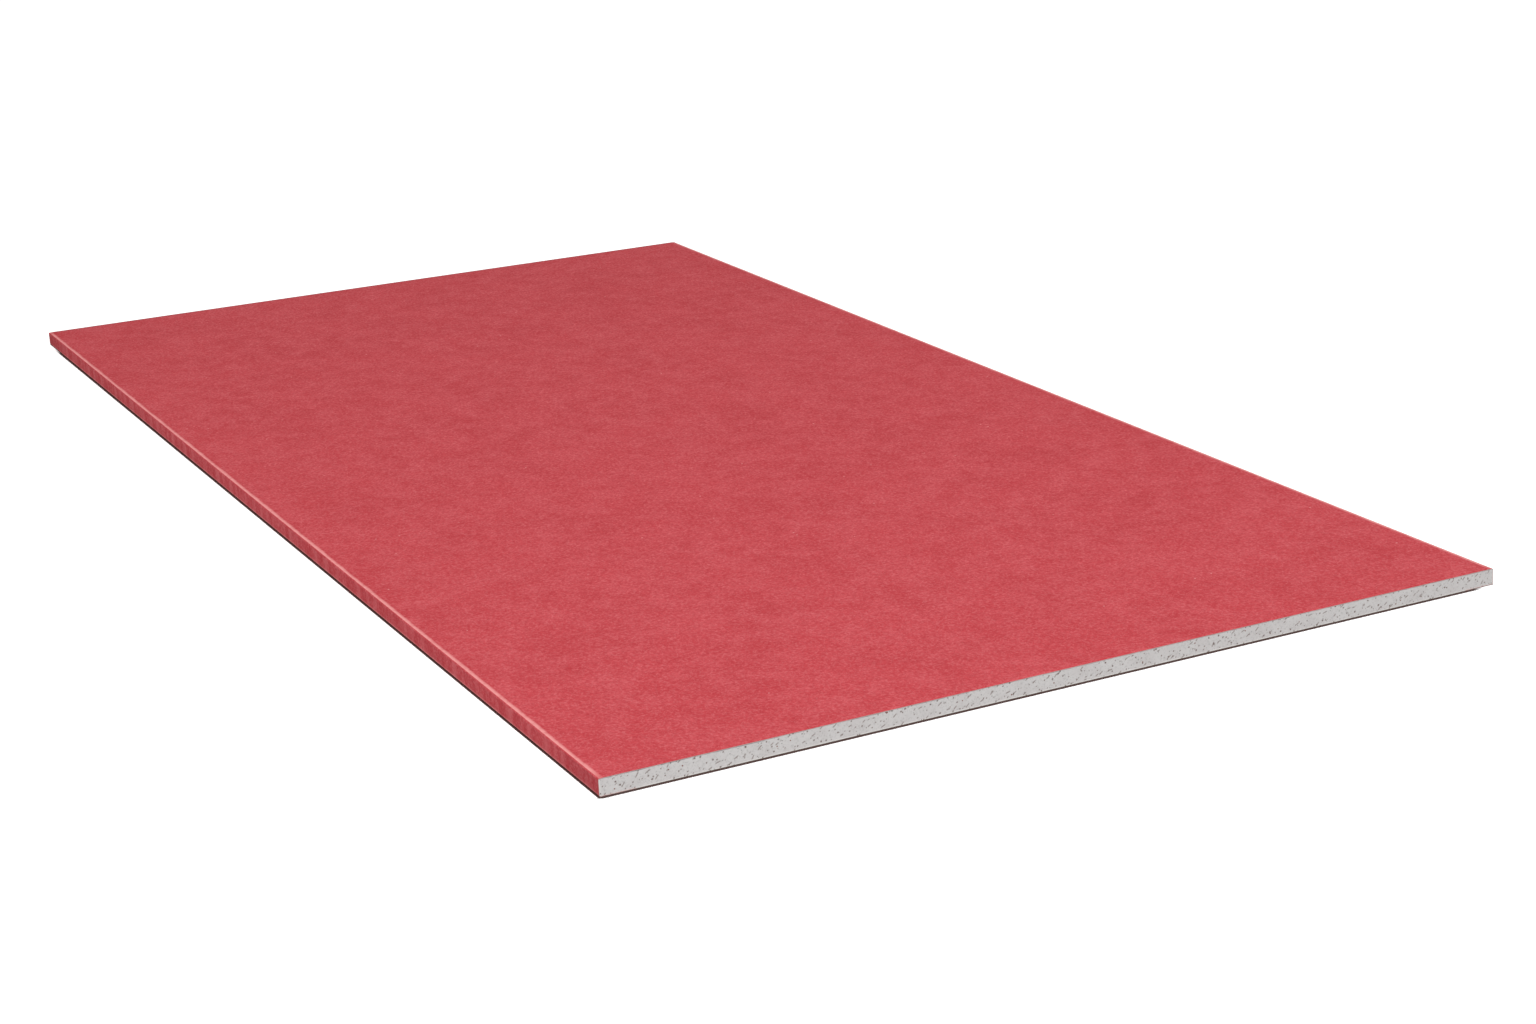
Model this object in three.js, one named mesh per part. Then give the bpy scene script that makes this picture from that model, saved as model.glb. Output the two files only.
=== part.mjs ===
import * as THREE from "three";

// Fire-rated gypsum board, 16 mm: a gypsum core between a red face liner and a plain back liner.
// Millimetres. X runs across the board, Y along it and Z up, with the face uppermost.
// The origin is the middle of the underside.

// The board
const boardWidth = 900;
const boardLength = 1800;
const boardThickness = 16;

// The two papers
const faceLinerThickness = 0.4;
const backLinerThickness = 0.4;

// Each long edge, formed against the mould: the face falls away in a narrow ease before the side
const easeWidth = 4.6;
const easeDrop = 0.3;
const creaseRadius = 12; // where the flat face turns down into the ease
const crestRadius = 0.5; // where the ease turns down into the side
const arrisRadius = 1.1; // where the side turns under

// The underside: the face liner is folded under as a flap, and the back liner is lapped over it
const flapWidth = 32; // from the board's side to the flap's raw edge
const backLinerSetback = 13; // from the board's side to the back liner's raw edge

const arcSteps = 4;

// Places that follow from the sizes above
const coreHalfWidth = boardWidth / 2 - faceLinerThickness;
const coreTop = boardThickness - faceLinerThickness;
const coreOverFlap = backLinerThickness + faceLinerThickness;
const flapEdge = boardWidth / 2 - flapWidth;
const backLinerHalfWidth = boardWidth / 2 - backLinerSetback;

// Outward directions of the four faces that the face liner follows round a long edge
const faceNormal = Math.PI / 2;
const easeNormal = faceNormal - Math.atan2(easeDrop, easeWidth);
const sideNormal = 0;
const underNormal = -Math.PI / 2;

// The three bends of the core down a long edge, each between two of those faces
const bends = [
  {
    corner: new THREE.Vector2(coreHalfWidth - easeWidth, coreTop),
    radius: creaseRadius,
    from: faceNormal,
    to: easeNormal,
  },
  {
    corner: new THREE.Vector2(coreHalfWidth, coreTop - easeDrop),
    radius: crestRadius,
    from: easeNormal,
    to: sideNormal,
  },
  {
    corner: new THREE.Vector2(coreHalfWidth, coreOverFlap),
    radius: arrisRadius,
    from: sideNormal,
    to: underNormal,
  },
];

function direction(angle) {
  return new THREE.Vector2(Math.cos(angle), Math.sin(angle));
}

// Centre of the arc that rounds a bend, as far inside both of its faces as its radius
function bendCentre({ corner, radius, from, to }) {
  const before = direction(from);
  const after = direction(to);
  const reach = radius / (1 + before.dot(after));
  return corner.clone().sub(before.add(after).multiplyScalar(reach));
}

// Section line from one flap's raw edge, up over the face and down to the other's. At no offset it
// is the bond between core and face liner; at the liner's thickness it is the outer skin. Both keep
// the same arc centres, so the liner is equally thick round every bend.
function linerLine(offset) {
  const path = new THREE.Path();
  for (const bend of bends) {
    const centre = bendCentre(bend);
    path.absarc(centre.x, centre.y, bend.radius + offset, bend.from, bend.to, true);
  }
  path.lineTo(flapEdge, coreOverFlap - offset);
  const right = path.getPoints(arcSteps);
  const left = right.map((point) => new THREE.Vector2(-point.x, point.y)).reverse();
  return [...left, ...right];
}

// The bond line is one list of points for both solids, so that they meet face to face
const bondLine = linerLine(0);
const skinLine = linerLine(faceLinerThickness);

// The core fills the liner, and between the two flaps it reaches down to the back liner
function coreSection() {
  return new THREE.Shape([
    ...bondLine,
    new THREE.Vector2(flapEdge, backLinerThickness),
    new THREE.Vector2(-flapEdge, backLinerThickness),
  ]);
}

function faceLinerSection() {
  return new THREE.Shape([...skinLine, ...bondLine.toReversed()]);
}

function backLinerSection() {
  return new THREE.Shape([
    new THREE.Vector2(-backLinerHalfWidth, 0),
    new THREE.Vector2(backLinerHalfWidth, 0),
    new THREE.Vector2(backLinerHalfWidth, backLinerThickness),
    new THREE.Vector2(-backLinerHalfWidth, backLinerThickness),
  ]);
}

// A piece of the board: its section, made on a continuous line and cut to the board's length
function boardPiece(name, section, material) {
  const geometry = new THREE.ExtrudeGeometry(section, {
    depth: boardLength,
    bevelEnabled: false,
  });
  const piece = new THREE.Mesh(geometry, material);
  piece.name = name;
  piece.rotation.x = Math.PI / 2;
  piece.position.y = boardLength / 2;
  return piece;
}

const gypsum = new THREE.MeshStandardMaterial({
  name: "gypsum",
  color: "#c8c8c4",
  roughness: 0.95,
  metalness: 0,
});

const redPaper = new THREE.MeshStandardMaterial({
  name: "red_liner_paper",
  color: "#c8565a",
  roughness: 0.8,
  metalness: 0,
});

const greyPaper = new THREE.MeshStandardMaterial({
  name: "grey_liner_paper",
  color: "#8a7d70",
  roughness: 0.85,
  metalness: 0,
});

const drywallSheet = new THREE.Group();
drywallSheet.add(
  boardPiece("gypsum_core", coreSection(), gypsum),
  boardPiece("face_paper", faceLinerSection(), redPaper),
  boardPiece("back_paper", backLinerSection(), greyPaper),
);

export default drywallSheet;
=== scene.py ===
import math
import random

import bmesh
import bpy
from mathutils import Matrix, Vector, kdtree, noise


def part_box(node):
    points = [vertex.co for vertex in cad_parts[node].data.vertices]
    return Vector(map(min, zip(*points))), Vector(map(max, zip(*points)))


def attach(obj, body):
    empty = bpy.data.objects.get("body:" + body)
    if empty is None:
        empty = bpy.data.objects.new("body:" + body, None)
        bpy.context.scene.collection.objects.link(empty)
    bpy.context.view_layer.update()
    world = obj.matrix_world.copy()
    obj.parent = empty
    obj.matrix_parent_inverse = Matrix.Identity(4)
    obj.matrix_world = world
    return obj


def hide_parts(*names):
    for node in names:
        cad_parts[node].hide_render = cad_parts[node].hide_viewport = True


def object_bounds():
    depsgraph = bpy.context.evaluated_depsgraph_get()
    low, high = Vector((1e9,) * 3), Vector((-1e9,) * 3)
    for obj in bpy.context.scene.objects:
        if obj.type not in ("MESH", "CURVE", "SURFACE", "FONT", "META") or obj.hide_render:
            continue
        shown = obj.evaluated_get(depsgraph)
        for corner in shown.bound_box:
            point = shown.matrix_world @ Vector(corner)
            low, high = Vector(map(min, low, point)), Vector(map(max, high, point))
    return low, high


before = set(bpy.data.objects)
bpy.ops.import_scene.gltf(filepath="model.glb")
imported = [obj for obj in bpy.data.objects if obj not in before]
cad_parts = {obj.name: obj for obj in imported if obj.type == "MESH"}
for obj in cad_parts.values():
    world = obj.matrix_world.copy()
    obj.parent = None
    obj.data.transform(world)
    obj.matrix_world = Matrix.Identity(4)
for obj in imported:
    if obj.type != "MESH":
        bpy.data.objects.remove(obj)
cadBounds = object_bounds()
boardHigh = cadBounds[1]
halfWidth, halfLength, boardTop = boardHigh.x, boardHigh.y, boardHigh.z
coreLow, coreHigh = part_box("gypsum_core")
samePlace = 1e-6  # m; places closer together than this count as one
cutDepth = 0.05  # mm; paper closer than this to a cut end shows its cut edge


def millimetres(value):
    return value * 0.001


def perMillimetre(value):
    return 1000.0 / value  # scale of a pattern whose features are this many millimetres apart


# where the flat face ends and falls away in the ease along each long edge
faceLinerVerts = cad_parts["face_paper"].data.vertices
faceEdge = max(vert.co.x for vert in faceLinerVerts if vert.co.z > boardTop - samePlace)
print("frame loaded:", sorted(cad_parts))
print("flat face ends", round(halfWidth - faceEdge, 5), "m from the side")


def linear(hexColour):
    channels = [int(hexColour[i:i + 2], 16) / 255 for i in (1, 3, 5)]
    return [c / 12.92 if c <= 0.04045 else ((c + 0.055) / 1.055) ** 2.4 for c in channels] + [1.0]


# inputs go by socket name, or in a list in the order of the sockets in use; each is a value or what feeds it.
# The list of a MapRange is what goes in, the two values between which it counts, and what comes out at each
def addNode(tree, kind, settings, inputs):
    node = tree.nodes.new("ShaderNode" + kind)
    for name, value in settings.items():
        setattr(node, name, value)
    sockets = node.inputs
    if isinstance(inputs, list):
        sockets = [socket for socket in node.inputs if socket.enabled]
        inputs = dict(enumerate(inputs))
    for place, value in inputs.items():
        if isinstance(value, bpy.types.Node):
            value = next(socket for socket in value.outputs if socket.enabled)
        if isinstance(value, bpy.types.NodeSocket):
            tree.links.new(value, sockets[place])
        else:
            sockets[place].default_value = value
    return node


def newMaterial(name):
    material = bpy.data.materials.new(name)
    material.use_nodes = True
    material.node_tree.nodes.clear()
    return material, material.node_tree


def addPiece(name, bm, material):
    mesh = bpy.data.meshes.new(name)
    bm.to_mesh(mesh)
    bm.free()
    mesh.materials.append(material)
    piece = bpy.data.objects.new(name, mesh)
    bpy.context.scene.collection.objects.link(piece)
    return piece


# Curled fibres pressed into a sheet: ridge lines of a smooth noise, broken up by a second noise
def pressedFibres(tree, place, spacing, thickness, share, shift):
    spot = addNode(tree, "Mapping", {}, {"Vector": place, "Location": shift})
    ridge = addNode(tree, "TexNoise", {"noise_type": "RIDGED_MULTIFRACTAL"}, {
        "Vector": spot, "Scale": perMillimetre(spacing), "Detail": 0.0, "Offset": 1.0, "Gain": 1.0})
    border = (1 - thickness / spacing * 1.2) ** 2  # the ridge noise at a fibre's border; it is 1 on the crest
    line = addNode(tree, "MapRange", {"interpolation_type": "SMOOTHSTEP"}, [ridge, border, 1.0, 0.0, 1.0])
    gapSpacing = spacing * 0.55
    gaps = addNode(tree, "TexNoise", {}, {
        "Vector": spot, "Scale": perMillimetre(gapSpacing), "Detail": 1.0})
    gone, whole = 0.98 - share, 1.06 - share  # the gap noise where a fibre is gone and where it is whole
    kept = addNode(tree, "MapRange", {"interpolation_type": "SMOOTHSTEP"}, [gaps, gone, whole, 0, 1])
    return addNode(tree, "Math", {"operation": "MULTIPLY"}, [line, kept])


# Small round flecks, one in each cell of a voronoi, kept only in the share of cells with a low random value
def flecks(tree, place, spacing, size, share, shift):
    spot = addNode(tree, "Mapping", {}, {"Vector": place, "Location": shift})
    cells = addNode(tree, "TexVoronoi", {}, {"Vector": spot, "Scale": perMillimetre(spacing)})
    whole, gone = size / spacing * 0.35, size / spacing * 0.65  # how far from its middle a fleck is either
    dot = addNode(tree, "MapRange", {"interpolation_type": "SMOOTHSTEP"}, [
        cells.outputs["Distance"], whole, gone, 1, 0])
    chance = addNode(tree, "SeparateXYZ", {}, [cells.outputs["Color"]])
    kept = addNode(tree, "Math", {"operation": "LESS_THAN"}, [chance.outputs["X"], share])
    return addNode(tree, "Math", {"operation": "MULTIPLY"}, [dot, kept])


# Red liner board: recycled paper dyed in the mass and calendered. Matt and cloudy, with short pressed fibres
redPaperLook = {
    "colour": "#ca4d53",
    "cloud": "#bb4046",
    "blotch": "#d76369",
    "paleFibre": "#e18588",
    "darkFibre": "#b2343c",
    "speck": "#eab0b0",
    "wornAndSheen": "#ec9c9a",  # along the eased edges, rubbed paler and painted with a sheen highlight; also the painted highlight on the lower arris
    "endDark": "#6e2228",  # on the sides close to the cut ends
    "rawEdge": "#b5a19d",  # undyed plies in the cut edge
    "roughness": 0.8,
    "specular": 0.05,
    "along": 1.2,  # fibres lie along the board a little more than across it, as they do on a paper machine
    "cloudSize": 80,  # mm, as is every length below
    "cloudAmount": 0.6,
    "blotchSize": 24,
    "blotchAmount": 0.54,
    "mottleSize": 5,
    "mottlePale": 0.42,
    "mottleDark": 0.42,
    "fibreSpacing": 4.8,  # real fibres are 1 to 3 mm long, and are drawn coarser so that they show
    "fibreThickness": 0.95,
    "fibreShare": 0.5,  # roughly what shows of their length
    "otherFibreShare": 0.48,  # the same for the smallest and the largest ones
    "paleFibreAmount": 0.3,
    "darkFibreAmount": 0.36,
    "grainSize": 2.4,
    "grainAmount": 0.5,
    "grainRelief": 0.5,  # of the fibres' own
    "pitSpacing": 14,
    "pitSize": 2.2,
    "pitShare": 0.35,  # this share of the places has one
    "speckSpacing": 22,
    "speckSize": 1.8,
    "speckShare": 0.2,
    "fleckAmount": 0.6,  # of both pits and specks
    "wearSheenStart": 1.0,  # from the side, straight along the crest
    "wearSheenSoftness": 0.2,
    "wearSheenAcross": [(0.0, 1.0), (2.2, 0.95), (3.2, 0.8), (4.9, 0.0)],  # from the side, how much wear and painted sheen
    "wearSheenWander": 1.1,  # most that its inner border wanders either way
    "wanderSize": 26,
    "wearSheenLeast": 0.7,  # where it is thinnest
    "wearSheenFadeStart": 20,  # from a cut end
    "wearSheenFadeEnd": 3,
    "wearSheenLeft": 0.4,  # after fading
    "sideTop": 1.2,  # below the face
    "sideDepth": 2.5,  # from the side inwards, taking in its lower arris
    # the lower arris of the sides is painted paler, a painted highlight
    "arrisHighlight": 0.42,
    "arrisHighlightFull": 1.6,  # above the underside
    "arrisHighlightGone": 3.8,
    "endDarkReach": 100,
    "endDarkAmount": 0.3,
    "ribSpacing": 16,  # the sides are faintly ribbed upright, from the rollers that folded the paper
    "ribStretch": 0.1,  # the pattern's scale up the side, against 1 along the board
    "darkRibAmount": 0.5,
    "paleRibAmount": 0.4,
    "bumpStrength": 0.6,
    "bumpHeight": 0.2,
}


def redLinerPaper(look):
    material, tree = newMaterial("red_calendered_liner_paper")
    place = addNode(tree, "TexCoord", {}, {}).outputs["Object"]
    apart = addNode(tree, "SeparateXYZ", {}, [place])
    laid = addNode(tree, "Mapping", {}, {"Vector": place, "Scale": (1, 1 / look["along"], 1)})
    colour = linear(look["colour"])

    # slow changes in the dye
    for name in ("cloud", "blotch"):
        dye = addNode(tree, "TexNoise", {}, {
            "Vector": laid, "Scale": perMillimetre(look[name + "Size"]), "Detail": 3.0, "Roughness": 0.55})
        share = addNode(tree, "MapRange", {"interpolation_type": "SMOOTHSTEP"}, [
            dye, 0.35, 0.7, 0, look[name + "Amount"]])
        colour = addNode(tree, "Mix", {"data_type": "RGBA"}, [share, colour, linear(look[name])])
    mottle = addNode(tree, "TexNoise", {}, {
        "Vector": laid, "Scale": perMillimetre(look["mottleSize"]), "Detail": 2.0, "Roughness": 0.6})
    pale = addNode(tree, "MapRange", {}, [mottle, 0.5, 0.75, 0, look["mottlePale"]])
    dark = addNode(tree, "MapRange", {}, [mottle, 0.5, 0.25, 0, look["mottleDark"]])
    colour = addNode(tree, "Mix", {"data_type": "RGBA"}, [pale, colour, linear(look["blotch"])])
    colour = addNode(tree, "Mix", {"data_type": "RGBA"}, [dark, colour, linear(look["darkFibre"])])

    # dark fibres, and over them pale ones of three sizes
    spacing, thickness, share = look["fibreSpacing"], look["fibreThickness"], look["fibreShare"]
    sunken = pressedFibres(tree, laid, spacing * 0.9, thickness, share, (0.6, 0.6, 0.9))
    raised = pressedFibres(tree, laid, spacing, thickness, share, (0.1, 0.4, 0.2))
    share = look["otherFibreShare"]
    for ratio, shift in ((0.7, (0.8, 0.2, 0.5)), (1.35, (0.3, 0.9, 0.6))):
        more = pressedFibres(tree, laid, spacing * ratio, thickness * ratio ** 0.5, share, shift)
        raised = addNode(tree, "Math", {"operation": "MAXIMUM"}, [raised, more])
    faint = addNode(tree, "Math", {"operation": "MULTIPLY"}, [sunken, look["darkFibreAmount"]])
    colour = addNode(tree, "Mix", {"data_type": "RGBA"}, [faint, colour, linear(look["darkFibre"])])
    strong = addNode(tree, "Math", {"operation": "MULTIPLY"}, [raised, look["paleFibreAmount"]])
    colour = addNode(tree, "Mix", {"data_type": "RGBA"}, [strong, colour, linear(look["paleFibre"])])

    # grain, dark pits and a few pale specks
    grain = addNode(tree, "TexNoise", {}, {
        "Vector": laid, "Scale": perMillimetre(look["grainSize"]), "Detail": 1.0, "Roughness": 0.5})
    shade = addNode(tree, "MapRange", {}, [grain, 0.3, 0.7, 0, look["grainAmount"]])
    colour = addNode(tree, "Mix", {"data_type": "RGBA"}, [shade, colour, linear(look["darkFibre"])])
    for name, tint, shift in (("pit", "darkFibre", (0.2, 0.7, 0.1)), ("speck", "speck", (0.5, 0.1, 0.3))):
        spacing, size, share = look[name + "Spacing"], look[name + "Size"], look[name + "Share"]
        dots = flecks(tree, place, spacing, size, share, shift)
        dotted = addNode(tree, "Math", {"operation": "MULTIPLY"}, [dots, look["fleckAmount"]])
        colour = addNode(tree, "Mix", {"data_type": "RGBA"}, [dotted, colour, linear(look[tint])])

    # the eased edges are worn pale and painted with a sheen highlight, from the crest to a wandering border
    # further in
    across = addNode(tree, "Math", {"operation": "ABSOLUTE"}, [apart.outputs["X"]])
    wave = addNode(tree, "TexNoise", {}, {
        "Vector": place, "Scale": perMillimetre(look["wanderSize"]), "Detail": 3.0})
    most = millimetres(look["wearSheenWander"])
    wander = addNode(tree, "MapRange", {}, [wave, 0, 1, -most, most])
    inset = addNode(tree, "Math", {"operation": "SUBTRACT"}, [halfWidth, across])
    start, soft = look["wearSheenStart"], look["wearSheenSoftness"]
    crest = addNode(tree, "MapRange", {"interpolation_type": "SMOOTHSTEP"}, [
        inset, millimetres(start - soft), millimetres(start + soft), 0, 1])
    inset = addNode(tree, "Math", {"operation": "ADD"}, [inset, wander])
    widest = look["wearSheenAcross"][-1][0]
    spread = addNode(tree, "MapRange", {}, [inset, 0, millimetres(widest), 0, 1])
    wearSheenRamp = addNode(tree, "ValToRGB", {}, [spread])
    stops = wearSheenRamp.color_ramp.elements
    for number, (away, amount) in enumerate(look["wearSheenAcross"]):
        stop = stops[number] if number < 2 else stops.new(1.0)
        stop.position, stop.color = away / widest, (amount, amount, amount, 1)
    above = addNode(tree, "Math", {"operation": "GREATER_THAN"}, [
        apart.outputs["Z"], boardTop - millimetres(look["sideTop"])])
    patchy = addNode(tree, "MapRange", {"interpolation_type": "SMOOTHSTEP"}, [
        mottle, 0.25, 0.6, look["wearSheenLeast"], 1])
    along = addNode(tree, "Math", {"operation": "ABSOLUTE"}, [apart.outputs["Y"]])
    fadeStart = halfLength - millimetres(look["wearSheenFadeStart"])
    fadeEnd = halfLength - millimetres(look["wearSheenFadeEnd"])
    fading = addNode(tree, "MapRange", {}, [along, fadeStart, fadeEnd, 1, look["wearSheenLeft"]])
    wornAndSheen = addNode(tree, "Math", {"operation": "MULTIPLY"}, [wearSheenRamp.outputs["Color"], above])
    for share in (crest, patchy, fading):
        wornAndSheen = addNode(tree, "Math", {"operation": "MULTIPLY"}, [wornAndSheen, share])
    colour = addNode(tree, "Mix", {"data_type": "RGBA"}, [wornAndSheen, colour, linear(look["wornAndSheen"])])

    # the sides are painted paler along the lower arris, a painted highlight, and darker near the ends
    side = addNode(tree, "Math", {"operation": "GREATER_THAN"}, [
        across, halfWidth - millimetres(look["sideDepth"])])
    highlightFull, highlightGone = millimetres(look["arrisHighlightFull"]), millimetres(look["arrisHighlightGone"])
    low = addNode(tree, "MapRange", {"interpolation_type": "SMOOTHSTEP"}, [
        apart.outputs["Z"], highlightFull, highlightGone, look["arrisHighlight"], 0])
    arrisLit = addNode(tree, "Math", {"operation": "MULTIPLY"}, [low, side])
    colour = addNode(tree, "Mix", {"data_type": "RGBA"}, [arrisLit, colour, linear(look["wornAndSheen"])])
    close = addNode(tree, "MapRange", {}, [
        along, halfLength - millimetres(look["endDarkReach"]), halfLength, 0, look["endDarkAmount"]])
    below = addNode(tree, "Math", {"operation": "SUBTRACT"}, [side, above])
    endDarkened = addNode(tree, "Math", {"operation": "MULTIPLY", "use_clamp": True}, [close, below])
    colour = addNode(tree, "Mix", {"data_type": "RGBA"}, [endDarkened, colour, linear(look["endDark"])])

    # ribs up the sides; the cut shows undyed plies
    upright = addNode(tree, "Mapping", {}, {"Vector": place, "Scale": (0, 1, look["ribStretch"])})
    ribs = addNode(tree, "TexNoise", {}, {
        "Vector": upright, "Scale": perMillimetre(look["ribSpacing"]), "Detail": 2.0})
    for name, start, end in (("dark", 0.48, 0.75), ("pale", 0.52, 0.25)):
        ribbed = addNode(tree, "MapRange", {}, [ribs, start, end, 0, look[name + "RibAmount"]])
        ribbed = addNode(tree, "Math", {"operation": "MULTIPLY", "use_clamp": True}, [ribbed, below])
        colour = addNode(tree, "Mix", {"data_type": "RGBA"}, [ribbed, colour, linear(look[name + "Fibre"])])
    cut = addNode(tree, "Math", {"operation": "GREATER_THAN"}, [along, halfLength - millimetres(cutDepth)])
    colour = addNode(tree, "Mix", {"data_type": "RGBA"}, [cut, colour, linear(look["rawEdge"])])

    relief = addNode(tree, "Math", {"operation": "MULTIPLY_ADD"}, [grain, look["grainRelief"], raised])
    relief = addNode(tree, "Math", {"operation": "SUBTRACT"}, [relief, sunken])
    bump = addNode(tree, "Bump", {}, {
        "Strength": look["bumpStrength"], "Distance": millimetres(look["bumpHeight"]), "Height": relief})
    shader = addNode(tree, "BsdfPrincipled", {}, {
        "Base Color": colour, "Roughness": look["roughness"], "IOR": 1.5,
        "Specular IOR Level": look["specular"], "Normal": bump})
    addNode(tree, "OutputMaterial", {}, {"Surface": shader})
    return material


# Foamed gypsum, cast and sawn: light grey and chalky, with air pores, brown flecks and short saw marks
gypsumLook = {
    "colour": "#c9c6c5",
    "shade": "#c4c0bf",
    "pore": "#5c4336",
    "brownFleck": "#784b3a",
    "greyFleck": "#93918f",
    "underLinerShade": "#6f7072",  # painted shade in patches under the face liner's edge, mostly towards -X
    "paleRim": "#dbd8d6",  # paler next to the back liner and in the sides of the cut end
    "roughness": 0.95,
    "specular": 0.15,
    "cloudSize": 18,  # mm, as is every length below
    "pinholeSize": 1.6,
    "pinholeAmount": 0.5,
    "paleRimDepth": 1.0,
    "paleRimAmount": 0.8,
    "underLinerShadeDepth": 1.3,
    "underLinerShadeSize": 34,
    "underLinerShadeAmount": 0.9,
    "underLinerShadeElsewhere": 0.12,  # how much of it is left from the board's middle towards +X
    "greyFleckSpacing": 3.6,
    "greyFleckSize": 1.1,
    "greyFleckShare": 0.35,  # this share of the places has one
    "brownFleckSpacing": 6,
    "brownFleckSize": 1.3,
    "brownFleckShare": 0.35,
    "bumpStrength": 0.5,
    "bumpHeight": 0.2,
}


def sawnGypsum(look):
    material, tree = newMaterial("sawn_foamed_gypsum")
    place = addNode(tree, "TexCoord", {}, {}).outputs["Object"]
    apart = addNode(tree, "SeparateXYZ", {}, [place])
    colour = linear(look["colour"])

    # slow clouds, and a fine grain of pinholes
    cloud = addNode(tree, "TexNoise", {}, {
        "Vector": place, "Scale": perMillimetre(look["cloudSize"]), "Detail": 4.0, "Roughness": 0.6})
    uneven = addNode(tree, "MapRange", {"interpolation_type": "SMOOTHSTEP"}, [cloud, 0.4, 0.65, 0, 1])
    colour = addNode(tree, "Mix", {"data_type": "RGBA"}, [uneven, colour, linear(look["shade"])])
    fine = addNode(tree, "TexNoise", {}, {
        "Vector": place, "Scale": perMillimetre(look["pinholeSize"]), "Detail": 2.0, "Roughness": 0.7})
    pitted = addNode(tree, "MapRange", {}, [fine, 0.52, 0.75, 0, look["pinholeAmount"]])
    colour = addNode(tree, "Mix", {"data_type": "RGBA"}, [pitted, colour, linear(look["greyFleck"])])

    # paler next to the back liner and in the sides, and painted shade in patches under the face liner
    across = addNode(tree, "Math", {"operation": "ABSOLUTE"}, [apart.outputs["X"]])
    fromSide = addNode(tree, "Math", {"operation": "SUBTRACT"}, [coreHigh.x, across])
    fromBack = addNode(tree, "Math", {"operation": "SUBTRACT"}, [apart.outputs["Z"], coreLow.z])
    depth = addNode(tree, "Math", {"operation": "MINIMUM"}, [fromSide, fromBack])
    whole, gone = look["paleRimDepth"] * 0.5, look["paleRimDepth"] * 1.3
    paleRim = addNode(tree, "MapRange", {"interpolation_type": "SMOOTHSTEP"}, [
        depth, millimetres(whole), millimetres(gone), look["paleRimAmount"], 0])
    colour = addNode(tree, "Mix", {"data_type": "RGBA"}, [paleRim, colour, linear(look["paleRim"])])
    wave = addNode(tree, "TexNoise", {}, {
        "Vector": place, "Scale": perMillimetre(look["underLinerShadeSize"]), "Detail": 5.0, "Roughness": 0.65})
    patches = addNode(tree, "MapRange", {"interpolation_type": "SMOOTHSTEP"}, [wave, 0.46, 0.58, 0, 1])
    underLinerShadeFoot = coreHigh.z - millimetres(look["underLinerShadeDepth"])
    upper = addNode(tree, "MapRange", {"interpolation_type": "SMOOTHSTEP"}, [
        apart.outputs["Z"], underLinerShadeFoot, coreHigh.z, 0, look["underLinerShadeAmount"]])
    towards = addNode(tree, "MapRange", {}, [apart.outputs["X"], -halfWidth, 0.0, 1, look["underLinerShadeElsewhere"]])
    underLinerShade = addNode(tree, "Math", {"operation": "MULTIPLY"}, [patches, upper])
    underLinerShade = addNode(tree, "Math", {"operation": "MULTIPLY"}, [underLinerShade, towards])
    colour = addNode(tree, "Mix", {"data_type": "RGBA"}, [underLinerShade, colour, linear(look["underLinerShade"])])

    # flecks of paper and ash in the mix, seen only where they are cut, and the pores and saw marks darkened
    # brown, most where they are deepest
    flat = addNode(tree, "Mapping", {}, {"Vector": place, "Scale": (1, 0, 1)})
    for name, shift in (("greyFleck", (0.3, 0, 0.5)), ("brownFleck", (0, 0, 0))):
        spacing, size, share = look[name + "Spacing"], look[name + "Size"], look[name + "Share"]
        dots = flecks(tree, flat, spacing, size, share, shift)
        colour = addNode(tree, "Mix", {"data_type": "RGBA"}, [dots, colour, linear(look[name])])
    pore = addNode(tree, "Attribute", {"attribute_name": "poreDepth"}, {}).outputs["Fac"]
    colour = addNode(tree, "Mix", {"data_type": "RGBA"}, [pore, colour, linear(look["pore"])])

    bump = addNode(tree, "Bump", {}, {
        "Strength": look["bumpStrength"], "Distance": millimetres(look["bumpHeight"]), "Height": fine})
    shader = addNode(tree, "BsdfPrincipled", {}, {
        "Base Color": colour, "Roughness": look["roughness"], "IOR": 1.52,
        "Specular IOR Level": look["specular"], "Normal": bump})
    addNode(tree, "OutputMaterial", {}, {"Surface": shader})
    return material


# Grey-brown liner board: undyed recycled paper, left rough. Matt, with dark flecks and loose fibres
greyPaperLook = {
    "colour": "#998d7f",
    "shade": "#8e8274",
    "fleck": "#564d45",
    "paleFibre": "#b3a99a",
    # painted shade on the cut edge along the foot of each end
    "cutEdgeShade": "#544a43",
    "roughness": 0.88,
    "specular": 0.2,
    "along": 2.2,  # as on the red paper
    "cloudSize": 50,  # mm, as is every length below
    "fibreSpacing": 8,  # coarser than the real fibres, as on the red paper
    "fibreThickness": 0.8,
    "fibreShare": 0.5,
    "fibreAmount": 0.4,
    "fleckSpacing": 9,
    "fleckSize": 1.4,
    "fleckShare": 0.3,
    "grainSize": 2.2,
    "grainAmount": 0.35,
    "bumpStrength": 0.6,
    "bumpHeight": 0.2,
}


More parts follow.
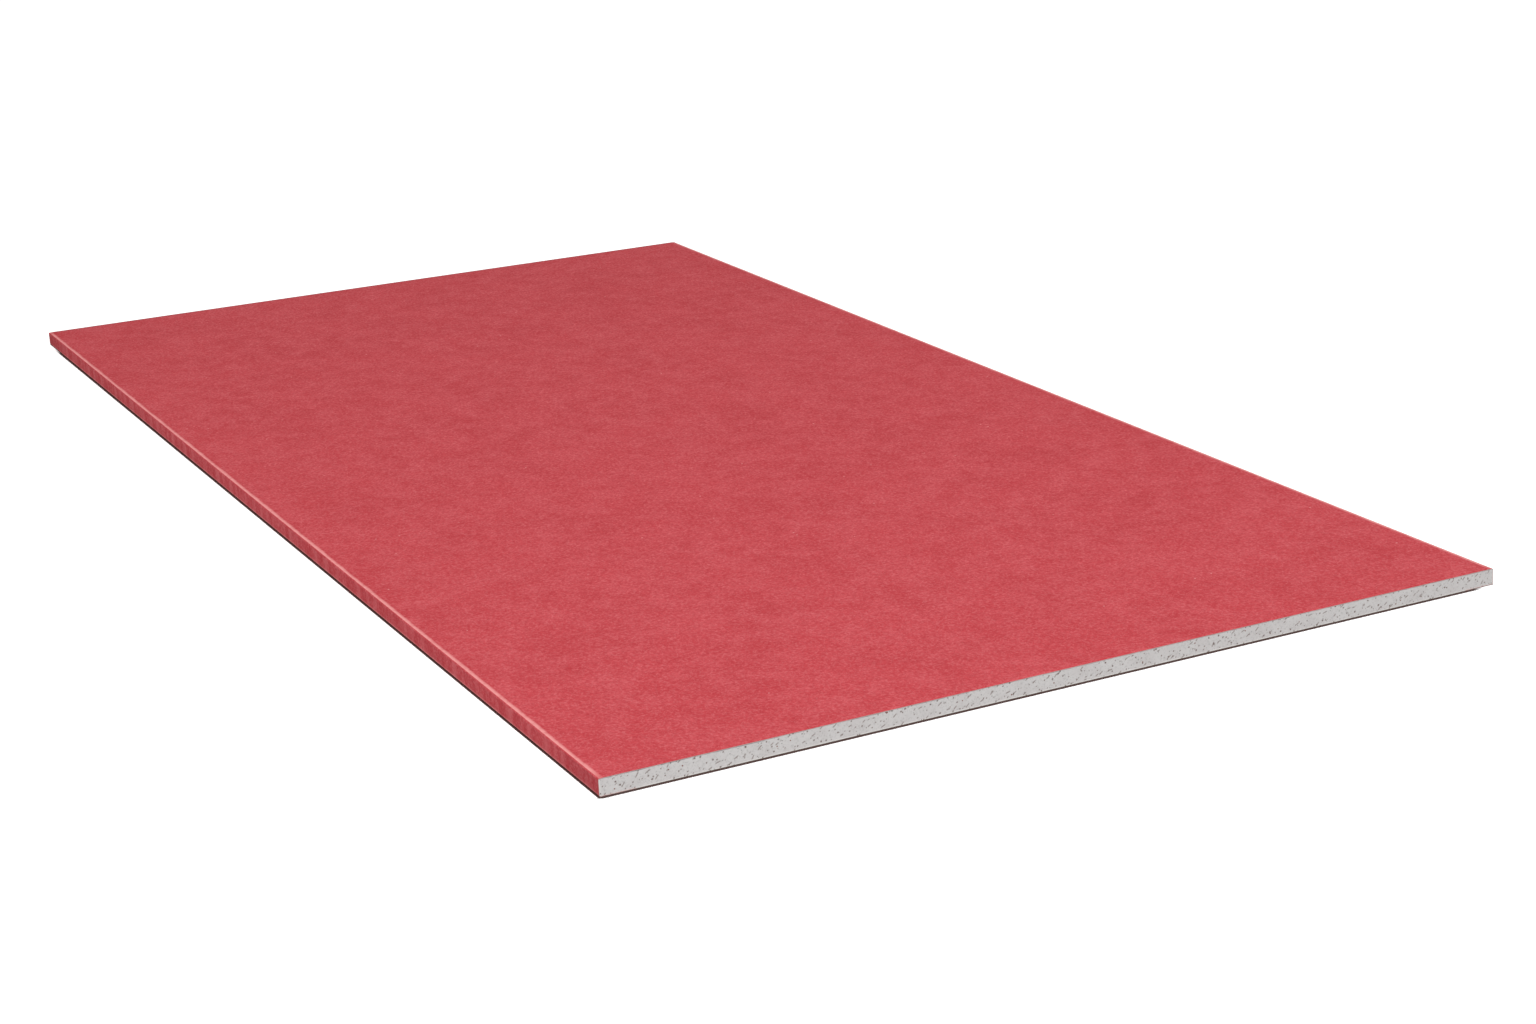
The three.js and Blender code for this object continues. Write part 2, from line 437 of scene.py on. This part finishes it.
def greyLinerPaper(look):
    material, tree = newMaterial("grey_recycled_liner_paper")
    place = addNode(tree, "TexCoord", {}, {}).outputs["Object"]
    apart = addNode(tree, "SeparateXYZ", {}, [place])
    laid = addNode(tree, "Mapping", {}, {"Vector": place, "Scale": (1, 1 / look["along"], 1)})
    cloud = addNode(tree, "TexNoise", {}, {
        "Vector": laid, "Scale": perMillimetre(look["cloudSize"]), "Detail": 4.0})
    uneven = addNode(tree, "MapRange", {"interpolation_type": "SMOOTHSTEP"}, [cloud, 0.3, 0.7, 0, 1])
    colour = addNode(tree, "Mix", {"data_type": "RGBA"}, [
        uneven, linear(look["shade"]), linear(look["colour"])])

    # pale fibres, dark flecks and a grain over both
    spacing, thickness, share = look["fibreSpacing"], look["fibreThickness"], look["fibreShare"]
    fibres = pressedFibres(tree, laid, spacing, thickness, share, (0.4, 0.4, 0.4))
    faint = addNode(tree, "Math", {"operation": "MULTIPLY"}, [fibres, look["fibreAmount"]])
    colour = addNode(tree, "Mix", {"data_type": "RGBA"}, [faint, colour, linear(look["paleFibre"])])
    spacing, size, share = look["fleckSpacing"], look["fleckSize"], look["fleckShare"]
    dots = flecks(tree, place, spacing, size, share, (0.7, 0.2, 0.2))
    colour = addNode(tree, "Mix", {"data_type": "RGBA"}, [dots, colour, linear(look["fleck"])])
    grain = addNode(tree, "TexNoise", {}, {
        "Vector": laid, "Scale": perMillimetre(look["grainSize"]), "Detail": 3.0})
    shade = addNode(tree, "MapRange", {}, [grain, 0.3, 0.75, 0, look["grainAmount"]])
    colour = addNode(tree, "Mix", {"data_type": "RGBA"}, [shade, colour, linear(look["fleck"])])

    # the cut edge is painted darker, as painted shade along the foot of the end
    along = addNode(tree, "Math", {"operation": "ABSOLUTE"}, [apart.outputs["Y"]])
    cut = addNode(tree, "Math", {"operation": "GREATER_THAN"}, [along, halfLength - millimetres(cutDepth)])
    colour = addNode(tree, "Mix", {"data_type": "RGBA"}, [cut, colour, linear(look["cutEdgeShade"])])

    relief = addNode(tree, "Math", {"operation": "ADD"}, [grain, fibres])
    bump = addNode(tree, "Bump", {}, {
        "Strength": look["bumpStrength"], "Distance": millimetres(look["bumpHeight"]), "Height": relief})
    shader = addNode(tree, "BsdfPrincipled", {}, {
        "Base Color": colour, "Roughness": look["roughness"], "IOR": 1.5,
        "Specular IOR Level": look["specular"], "Normal": bump})
    addNode(tree, "OutputMaterial", {}, {"Surface": shader})
    return material


redPaper = redLinerPaper(redPaperLook)
gypsum = sawnGypsum(gypsumLook)
greyPaper = greyLinerPaper(greyPaperLook)
print("materials made:", redPaper.name, gypsum.name, greyPaper.name)

# The core: each sawn end is a fine grid with real pores, saw marks and chipped arrises
coreShape = {
    "pitch": 0.58,  # mm between the grid's columns
    "rows": 26,
    "setBack": 0.12,  # mm that the gypsum lies behind the cut paper
    "sawRelief": 0.09,  # mm
    "sawOffset": 0.6,  # the larger, the less of the end is left flat
    "grain": 900,  # waves per metre
    "fineGrain": 2100,
    "fineGrainShare": 0.6,
    "pores": 330,  # on each end
    "poreRadius": (0.45, 0.95),  # mm
    "poreDepth": 0.8,  # of its radius
    "poreShade": 0.35,  # the smaller, the darker it is up to its rim
    "sawMarks": 110,  # on each end
    "sawMarkLength": (1.5, 4.0),  # mm
    "sawMarkWidth": 0.55,  # mm to either side
    "sawMarkDepth": 0.3,  # mm
    "sawMarkLean": (35, 15),  # degrees, the usual one and how much it varies
    "sawMarkDark": 0.7,  # of a pore's darkness
    "sawMarkShade": 0.4,
    "chips": 130,  # on each end, along its upper arris
    "chipRadius": (1.5, 5.0),  # mm
    "chipDepth": 0.5,  # mm
    "chipFlatness": 3,  # times as wide as high
    "stepLean": 0.05,  # mm that the step beside each flap leans, so that no column has two heights
    "sharpAngle": 50,  # degrees, past which an edge is shaded sharp
    "seed": 7,
}


def sectionColumns(pitch, stepLean):
    # the places across the board where the CAD section has corners, with columns between them
    corners = set()
    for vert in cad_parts["gypsum_core"].data.vertices:
        x, z = vert.co.x, vert.co.z
        if z < coreLow.z + samePlace:
            x -= math.copysign(millimetres(stepLean), x)
        corners.add((round(x, 6), round(z, 6)))
    middle = (coreLow.z + coreHigh.z) / 2
    upper = sorted(corner for corner in corners if corner[1] > middle)
    lower = sorted(corner for corner in corners if corner[1] < middle)
    places = sorted({corner[0] for corner in corners})
    columns = [places[0]]
    for start, end in zip(places, places[1:]):
        steps = max(1, math.ceil((end - start) / millimetres(pitch)))
        columns += [start + (end - start) * step / steps for step in range(1, steps + 1)]
    return columns, lower, upper


def heightAt(line, x):
    after = next((number for number, point in enumerate(line) if point[0] > x), len(line) - 1)
    (x0, z0), (x1, z1) = line[after - 1], line[after]
    return z0 + (z1 - z0) * (x - x0) / (x1 - x0)


def scattered(side, count):
    # random places on a cut end, one in each of as many equal lengths of it
    width = coreHigh.x - coreLow.x
    for number in range(count):
        x = coreLow.x + width * (number + random.random()) / count
        yield Vector((x, side * halfLength, random.uniform(coreLow.z, coreHigh.z)))


def sawnEnd(bm, side, shape, depths):
    columns, lower, upper = sectionColumns(shape["pitch"], shape["stepLean"])
    across, rows = len(columns) - 1, shape["rows"]
    grid = bmesh.ops.create_grid(bm, x_segments=across, y_segments=rows, size=0.5)["verts"]
    for vert in grid:
        x = columns[round((vert.co.x + 0.5) * across)]
        row = round((vert.co.y + 0.5) * rows) / rows
        low, high = heightAt(lower, x), heightAt(upper, x)
        vert.co = Vector((x, side * halfLength, low + (high - low) * row))

    tree = kdtree.KDTree(len(grid))
    for index, vert in enumerate(grid):
        tree.insert(vert.co, index)
    tree.balance()
    dents = [0.0] * len(grid)
    pores = [0.0] * len(grid)
    smallest, largest = shape["poreRadius"]
    for middle in scattered(side, shape["pores"]):
        radius = millimetres(random.triangular(smallest, largest, smallest))
        for _, index, distance in tree.find_range(middle, radius):
            bowl = 1 - (distance / radius) ** 2
            dents[index] = max(dents[index], radius * shape["poreDepth"] * bowl)
            pores[index] = max(pores[index], bowl ** shape["poreShade"])
    width = millimetres(shape["sawMarkWidth"])
    for middle in scattered(side, shape["sawMarks"]):
        length = millimetres(random.uniform(*shape["sawMarkLength"]))
        lean = math.radians(random.gauss(*shape["sawMarkLean"]))
        run = Vector((math.cos(lean), 0, math.sin(lean)))
        for point, index, _ in tree.find_range(middle, length / 2 + width):
            offset = point - middle
            beyond = max(0.0, abs(offset.dot(run)) - length / 2)
            aside = math.hypot(beyond, (offset - run * offset.dot(run)).length)
            groove = max(0.0, 1 - aside / width)
            dents[index] = max(dents[index], millimetres(shape["sawMarkDepth"]) * groove)
            pores[index] = max(pores[index], shape["sawMarkDark"] * groove ** shape["sawMarkShade"])
    for centre in scattered(side, shape["chips"]):
        radius = millimetres(random.uniform(*shape["chipRadius"]))
        centre.z = coreHigh.z
        for point, index, _ in tree.find_range(centre, radius):
            offset = point - centre
            spread = math.hypot(offset.x, offset.z * shape["chipFlatness"]) / radius
            dents[index] = max(dents[index], millimetres(shape["chipDepth"]) * max(0.0, 1 - spread))
    for vert, dent, pore in zip(grid, dents, pores):
        fine = shape["fineGrainShare"] * noise.noise(vert.co * shape["fineGrain"])
        rough = noise.noise(vert.co * shape["grain"]) + fine
        sawn = millimetres(shape["sawRelief"]) * max(0.0, shape["sawOffset"] + rough)
        vert.co.y -= side * (millimetres(shape["setBack"]) + dent + sawn)
        vert[depths] = pore


def makeCore(shape):
    random.seed(shape["seed"])
    bm = bmesh.new()
    depths = bm.verts.layers.float.new("poreDepth")
    for side in (-1, 1):
        sawnEnd(bm, side, shape, depths)
    rims = [edge for edge in bm.edges if edge.is_boundary]
    bmesh.ops.bridge_loops(bm, edges=rims)
    bmesh.ops.recalc_face_normals(bm, faces=bm.faces)
    for face in bm.faces:
        face.smooth = True
    core = addPiece("cast_core", bm, gypsum)
    core.data.set_sharp_from_angle(angle=math.radians(shape["sharpAngle"]))
    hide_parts("gypsum_core")
    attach(core, "root")
    return core


core = makeCore(coreShape)
print("core made:", len(core.data.polygons), "faces")

# The face liner: the wrapped paper, its crease wandering a little along each long edge
linerShape = {
    "stations": 300,  # along the board
    "flatAngle": 0.3,  # degrees, up to which two CAD faces count as one
    "sharpAngle": 40,  # degrees, past which an edge is shaded sharp
    "creaseDepth": 0.2,  # mm; the crease's arc lies this close under the face
    "creaseWander": 0.4,  # mm
    "wanderLength": 70,  # mm
    "shortWander": 0.5,  # of the long one, and a third of its length
}


def makeFaceLiner(shape):
    bm = bmesh.new()
    bm.from_mesh(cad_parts["face_paper"].data)
    bmesh.ops.remove_doubles(bm, verts=bm.verts, dist=samePlace)
    flatAngle = math.radians(shape["flatAngle"])
    bmesh.ops.dissolve_limit(bm, angle_limit=flatAngle, verts=bm.verts, edges=bm.edges)
    lengthwise = [edge for edge in bm.edges if edge.calc_length() > halfLength]
    bmesh.ops.subdivide_edges(bm, edges=lengthwise, cuts=shape["stations"] - 1, use_grid_fill=True)
    creaseFoot = boardTop - millimetres(shape["creaseDepth"])
    longRow, shortRow = 5, 9  # rows of the noise that the two waves follow
    for vert in bm.verts:
        if vert.co.z > creaseFoot and abs(vert.co.x) > faceEdge - samePlace:
            side = math.copysign(1, vert.co.x)
            along = vert.co.y / millimetres(shape["wanderLength"])
            wave = noise.noise(Vector((side * longRow, along, 0)))
            wave += shape["shortWander"] * noise.noise(Vector((side * shortRow, along * 3, 0)))
            vert.co.x += side * wave * millimetres(shape["creaseWander"])
    for face in bm.faces:
        face.smooth = True
    liner = addPiece("face_liner", bm, redPaper)
    liner.data.set_sharp_from_angle(angle=math.radians(shape["sharpAngle"]))
    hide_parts("face_paper")
    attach(liner, "root")
    return liner


faceLiner = makeFaceLiner(linerShape)
print("face liner made:", len(faceLiner.data.polygons), "faces")

# The back liner keeps its CAD shape
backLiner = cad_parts["back_paper"]
backLiner.data.materials.clear()
backLiner.data.materials.append(greyPaper)

# White studio: a floor that keeps the shadow where the board touches it, soft sky light and one large lamp
studio = {
    "floorColour": "#e6e6e6",
    "floorGlow": 0.62,
    "contactColour": "#523f3c",
    "contactDark": 0.86,  # open sky over a spot that is darkest
    "contactClear": 0.96,  # and over one that isn't darkened
    "contactSamples": 16,
    "nearReach": 2.3,  # mm beside a long edge, more towards +Y
    "farReach": 3.7,  # mm
    "endReach": 5.4,  # mm
    "nearGap": 11,  # mm, bare before the near right corner
    "nearFade": 12,  # mm
    "farGap": 25,  # mm, bare before the far left corner
    "farFade": 35,  # mm
    "floorSize": 60,  # m
    "skyLight": 0.5,
    "keyPower": 195,  # W
    "keyPlace": (-1.2, -3.4, 4.5),
    "keyTarget": (0, 0, 0),
    "keySize": 2.3,  # m
}


# 1 where the camera, a reflection or a view through glass looks, and 0 for the light that falls on the object
def seenDirectly(tree):
    rays = addNode(tree, "LightPath", {}, {})
    seen = addNode(tree, "Math", {"operation": "MAXIMUM"}, [
        rays.outputs["Is Camera Ray"], rays.outputs["Is Glossy Ray"]])
    return addNode(tree, "Math", {"operation": "MAXIMUM"}, [seen, rays.outputs["Is Transmission Ray"]])


def makeFloor(look):
    material, tree = newMaterial("white_studio_floor")
    place = addNode(tree, "TexCoord", {}, {}).outputs["Object"]
    apart = addNode(tree, "SeparateXYZ", {}, [place])

    # dark where the board stands, out to a reach that is most before the cut end and grows along the sides
    before = addNode(tree, "Math", {"operation": "LESS_THAN"}, [apart.outputs["Y"], -halfLength])
    nearReach, farReach = millimetres(look["nearReach"]), millimetres(look["farReach"])
    sideReach = addNode(tree, "MapRange", {}, [
        apart.outputs["Y"], -halfLength, halfLength, nearReach, farReach])
    more = millimetres(look["endReach"]) - nearReach
    reach = addNode(tree, "Math", {"operation": "MULTIPLY_ADD"}, [before, more, sideReach])
    near = addNode(tree, "AmbientOcclusion", {"samples": look["contactSamples"]}, {"Distance": reach})
    contact = addNode(tree, "MapRange", {"interpolation_type": "SMOOTHSTEP"}, [
        near.outputs["AO"], look["contactDark"], look["contactClear"], 1, 0])

    # it fades out before two of the corners
    beside = addNode(tree, "Math", {"operation": "LESS_THAN"}, [apart.outputs["X"], -halfWidth])
    bare = 0.0
    for corner, axis, end, edge in (("near", "X", halfWidth, before), ("far", "Y", halfLength, beside)):
        fadeEnd = end - millimetres(look[corner + "Gap"])
        fadeStart = fadeEnd - millimetres(look[corner + "Fade"])
        faded = addNode(tree, "MapRange", {}, [apart.outputs[axis], fadeStart, fadeEnd, 0, 1])
        bare = addNode(tree, "Math", {"operation": "MULTIPLY_ADD"}, [faded, edge, bare])
    dark = addNode(tree, "Math", {"operation": "SUBTRACT", "use_clamp": True}, [contact, bare])
    seen = seenDirectly(tree)
    dark = addNode(tree, "Math", {"operation": "MULTIPLY"}, [dark, seen])
    colour = addNode(tree, "Mix", {"data_type": "RGBA"}, [
        dark, linear(look["floorColour"]), linear(look["contactColour"])])
    free = addNode(tree, "Math", {"operation": "SUBTRACT"}, [seen, dark])
    glow = addNode(tree, "Math", {"operation": "MULTIPLY"}, [free, look["floorGlow"]])
    diffuse = addNode(tree, "BsdfDiffuse", {}, {"Color": colour})
    light = addNode(tree, "Emission", {}, {"Strength": glow})
    both = addNode(tree, "AddShader", {}, [diffuse, light])
    addNode(tree, "OutputMaterial", {}, {"Surface": both})
    bm = bmesh.new()
    bmesh.ops.create_grid(bm, x_segments=1, y_segments=1, size=look["floorSize"] / 2)
    floor = addPiece("floor", bm, material)


def makeSky(look):
    world = bpy.data.worlds.new("studio")
    world.use_nodes = True
    bpy.context.scene.world = world
    tree = world.node_tree
    tree.nodes.clear()
    soft = addNode(tree, "Background", {}, {"Color": (1, 1, 1, 1), "Strength": look["skyLight"]})
    white = addNode(tree, "Background", {}, {"Color": (1, 1, 1, 1), "Strength": 1.0})
    both = addNode(tree, "MixShader", {}, [seenDirectly(tree), soft, white])
    addNode(tree, "OutputWorld", {}, {"Surface": both})


def addLamp(name, place, target, power, size):
    light = bpy.data.lights.new(name, "AREA")
    light.energy = power
    light.size = size
    lamp = bpy.data.objects.new(name, light)
    lamp.location = place
    lamp.rotation_euler = (Vector(target) - Vector(place)).to_track_quat("-Z", "Y").to_euler()
    bpy.context.scene.collection.objects.link(lamp)


makeFloor(studio)
makeSky(studio)
addLamp("key", studio["keyPlace"], studio["keyTarget"], studio["keyPower"], studio["keySize"])
bpy.context.scene.view_settings.view_transform = "Standard"
print("studio made")

cameraSet = {
    "place": (-1.2365, -2.858, 0.885),
    "azimuth": 28.48,  # degrees from +Y towards +X
    "down": 17.45,
    "roll": -2.05,
    "focalPixels": 2885.0,
    "imageWidth": 1536,
    "sensorWidth": 36,
    "centreRight": 130,  # pixels from the frame's middle to the lens axis
}


def makeCamera(look):
    data = bpy.data.cameras.new("camera")
    data.sensor_width = look["sensorWidth"]
    data.lens = look["focalPixels"] / look["imageWidth"] * look["sensorWidth"]
    data.shift_x = -look["centreRight"] / look["imageWidth"]
    camera = bpy.data.objects.new("camera", data)
    camera.matrix_world = (
        Matrix.Translation(look["place"])
        @ Matrix.Rotation(math.radians(-look["azimuth"]), 4, "Z")
        @ Matrix.Rotation(math.radians(90 - look["down"]), 4, "X")
        @ Matrix.Rotation(math.radians(look["roll"]), 4, "Z")
    )
    bpy.context.scene.collection.objects.link(camera)
    bpy.context.scene.camera = camera


makeCamera(cameraSet)
print("camera set")
